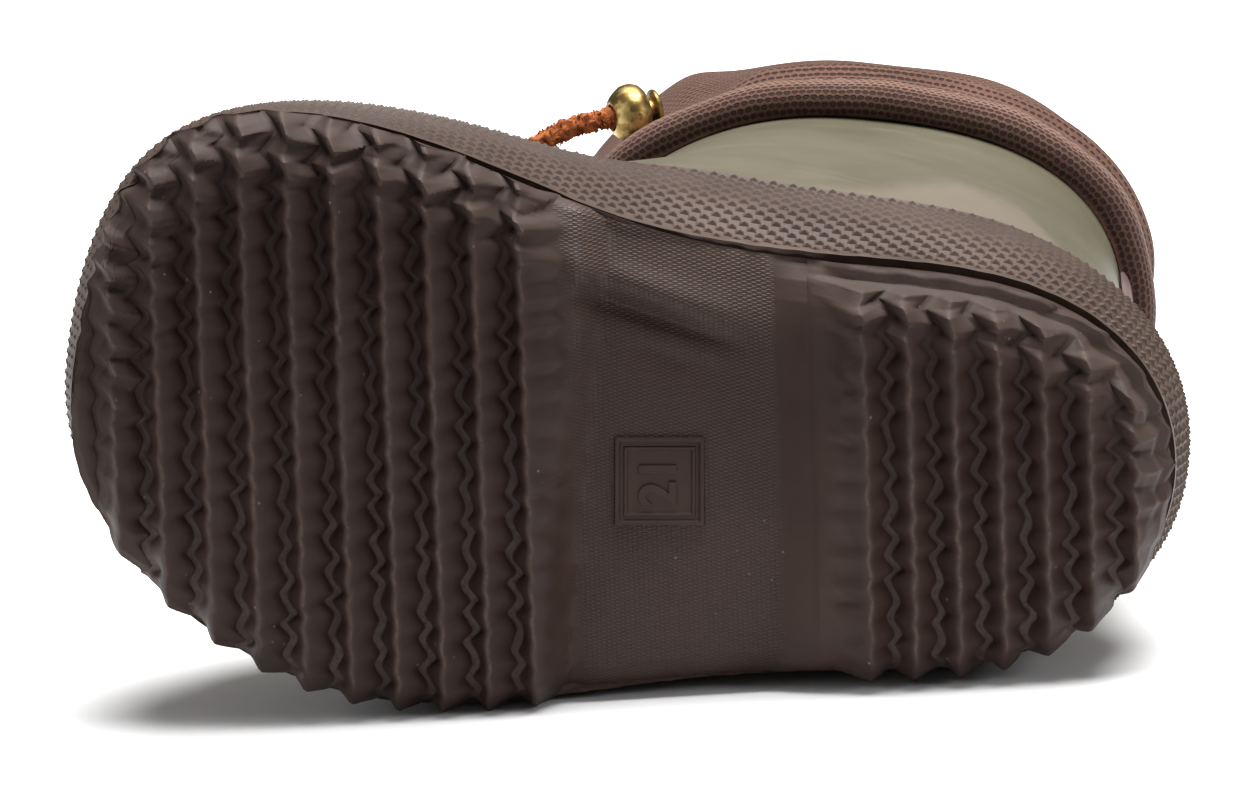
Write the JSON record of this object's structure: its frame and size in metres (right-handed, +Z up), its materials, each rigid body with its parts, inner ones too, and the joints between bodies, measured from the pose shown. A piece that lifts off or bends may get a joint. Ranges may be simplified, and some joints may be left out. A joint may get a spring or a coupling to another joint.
{
  "type": "rubber boot",
  "caption": "Small child's right rubber boot lying on its outer side, with ribbed sole, textured foxing band, hollow shaft, woven cuff and lace studs.",
  "frame": {"origin": "centre of the bottom of the lying boot's box, on the floor", "axes": "+Z up from the floor, +X from toe to heel, +Y from the sole to the collar"},
  "size_m": [0.1556, 0.1438, 0.0858],
  "materials": {
    "sole_rubber": "dark brown natural rubber, satin",
    "upper_rubber": "olive natural rubber, soft gloss",
    "rand_rubber": "grey brown rubber with small raised points",
    "strip_rubber": "brown rubber, satin",
    "cuff_cloth": "coarse brown weave",
    "stud_brass": "turned and lightly tarnished",
    "lace_suede": "fuzzy suede",
    "insole_felt": "pressed felt"
  },
  "bodies": {
    "root": {"outsole": "sole_rubber", "upper": "upper_rubber", "rand": "rand_rubber", "back_strip": "strip_rubber", "cuff": "cuff_cloth", "bead_medial": "stud_brass", "bead_lateral": "stud_brass", "lace": "lace_suede", "insole": "insole_felt"}
  },
  "joints": []
}
